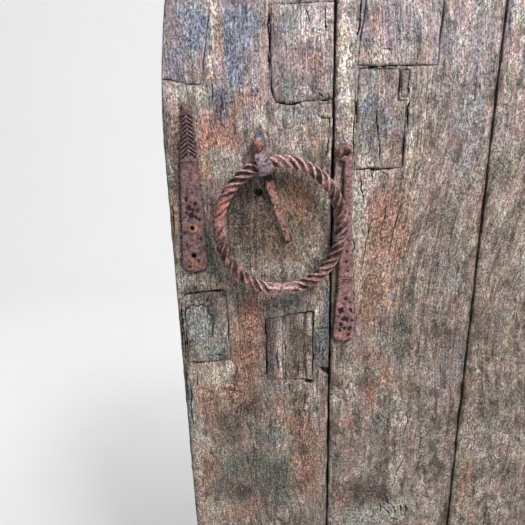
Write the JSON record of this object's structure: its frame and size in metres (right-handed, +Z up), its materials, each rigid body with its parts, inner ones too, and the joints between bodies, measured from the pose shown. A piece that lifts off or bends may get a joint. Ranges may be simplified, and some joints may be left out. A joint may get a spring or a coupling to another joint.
{
  "type": "arched wooden door",
  "caption": "single plank door leaf with a pointed arched top, patched weathered boards, a twisted iron pull ring and strap hinges for pintles",
  "frame": {"origin": "on the hinge axis, at the underside of the lower hinge eye", "axes": "+Z up along the hinge axis, +X across the leaf away from its closing edge, +Y from the front face to the back"},
  "size_m": [0.9422, 0.1477, 1.9781],
  "materials": {
    "weathered_oak": "rough",
    "repair_oak": "rough",
    "back_oak": "rough",
    "black_iron": "rough",
    "rusted_plate_iron": "rough",
    "orange_rust_iron": "rough",
    "purple_rust_iron": "rough",
    "ring_iron": "rough"
  },
  "bodies": {
    "leaf": {"closing_plank": "weathered_oak", "second_plank": "weathered_oak", "middle_plank": "weathered_oak", "fourth_plank": "weathered_oak", "hanging_plank": "weathered_oak", "top_left_patch": "repair_oak", "top_centre_patch": "repair_oak", "edge_block": "repair_oak", "lower_left_patch": "repair_oak", "lower_centre_strip_left": "repair_oak", "lower_centre_strip_middle": "repair_oak", "lower_centre_strip_right": "repair_oak", "lower_side_block": "repair_oak", "right_upper_patch": "repair_oak", "right_patch": "repair_oak", "right_sliver": "repair_oak", "loose_tongue_1": "back_oak", "loose_tongue_2": "back_oak", "loose_tongue_3": "back_oak", "loose_tongue_4": "back_oak", "bottom_ledge": "back_oak", "middle_ledge": "back_oak", "upper_ledge": "back_oak", "top_ledge": "back_oak", "lower_hinge": "black_iron", "upper_hinge": "black_iron", "bottom_ledge_nails": "black_iron", "middle_ledge_nails": "black_iron", "upper_ledge_nails": "black_iron", "top_ledge_nails": "black_iron", "lower_hinge_nails": "black_iron", "upper_hinge_nails": "black_iron", "chevron_plate": "rusted_plate_iron", "curled_plate": "rusted_plate_iron", "ring_back_plate": "rusted_plate_iron", "chevron_plate_nails": "orange_rust_iron", "plate_eyelet": "orange_rust_iron", "curled_plate_nails": "orange_rust_iron", "ring_strap_nail": "orange_rust_iron", "ring_strap": "purple_rust_iron"},
    "ring": {"pull_ring": "ring_iron"}
  },
  "joints": [
    {"name": "ring_lift", "type": "hinge", "parent": "leaf", "child": "ring", "pos_m": [-0.80947, -0.12064, 0.99879], "axis": [-0.9677, 0, -0.252], "range_deg": [0, 170]}
  ]
}
